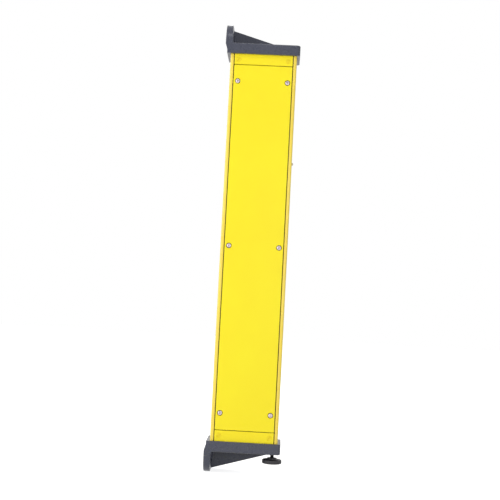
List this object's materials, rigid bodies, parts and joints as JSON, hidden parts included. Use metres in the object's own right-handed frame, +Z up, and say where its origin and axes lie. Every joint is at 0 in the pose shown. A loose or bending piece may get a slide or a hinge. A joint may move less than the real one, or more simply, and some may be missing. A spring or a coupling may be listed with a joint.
{
  "type": "safety light curtain",
  "caption": "Slim upright safety light curtain housing with a light window, screwed service cover, end brackets for wall mounting and a small foot.",
  "frame": {"origin": "centre of the four mounting holes, on the plane of the two mounting faces", "axes": "+X away from the mounting plane towards the light window, -Y out of the service cover, +Z up the column"},
  "size_m": [0.1189, 0.0713, 0.696],
  "materials": {
    "yellow_housing": "satin powder coat",
    "yellow_cover": "satin powder coat",
    "yellow_strip": "satin powder coat",
    "painted_screws": "painted over with the strip",
    "grey_casting": "semi-gloss grey coat on a casting",
    "seal_rubber": "matt",
    "black_steel": "black oxide",
    "foot_plastic": "moulded nylon",
    "dark_window": "polished infrared filter",
    "lamp_lens": "clear tinted",
    "carrier_plastic": "moulded",
    "lens_acrylic": "optical",
    "circuit_board": "solder mask",
    "photo_resin": "dark filter resin",
    "brass_parts": "plated",
    "terminal_plastic": "moulded",
    "relay_plastic": "moulded",
    "capacitor_can": "sleeved can",
    "chip_plastic": "moulded",
    "connector_metal": "nickel plated",
    "bright_steel": "zinc plated"
  },
  "bodies": {
    "root": {"housing_profile": "yellow_housing", "service_cover": "yellow_cover", "cover_gasket": "seal_rubber", "top_end_strip": "yellow_strip", "bottom_end_strip": "yellow_strip", "top_bracket": "grey_casting", "bottom_bracket": "grey_casting", "top_bracket_gasket": "seal_rubber", "bottom_bracket_gasket": "seal_rubber", "foot_stud": "black_steel", "foot_lock_nut": "black_steel", "foot_pad": "foot_plastic", "window_seal": "seal_rubber", "light_window": "dark_window", "status_indicator": "lamp_lens", "indicator_lamp": "lamp_lens", "optics_carrier": "carrier_plastic", "lens_strip": "lens_acrylic", "sensor_board": "circuit_board", "photo_elements": "photo_resin", "control_board": "circuit_board", "board_spacers": "brass_parts", "terminal_block": "terminal_plastic", "safety_relays": "relay_plastic", "smoothing_capacitor": "capacitor_can", "controller_chips": "chip_plastic", "board_link": "chip_plastic", "connector_seal": "seal_rubber", "connector_shell": "connector_metal", "connector_nut": "connector_metal", "connector_insert": "chip_plastic", "connector_pins": "brass_parts", "cover_screws": "bright_steel", "end_strip_screws": "painted_screws", "top_bracket_screws": "black_steel", "bottom_bracket_screws": "black_steel", "carrier_screws": "bright_steel", "board_screws": "bright_steel", "earth_washer": "bright_steel", "earth_screw": "bright_steel"}
  },
  "joints": []
}
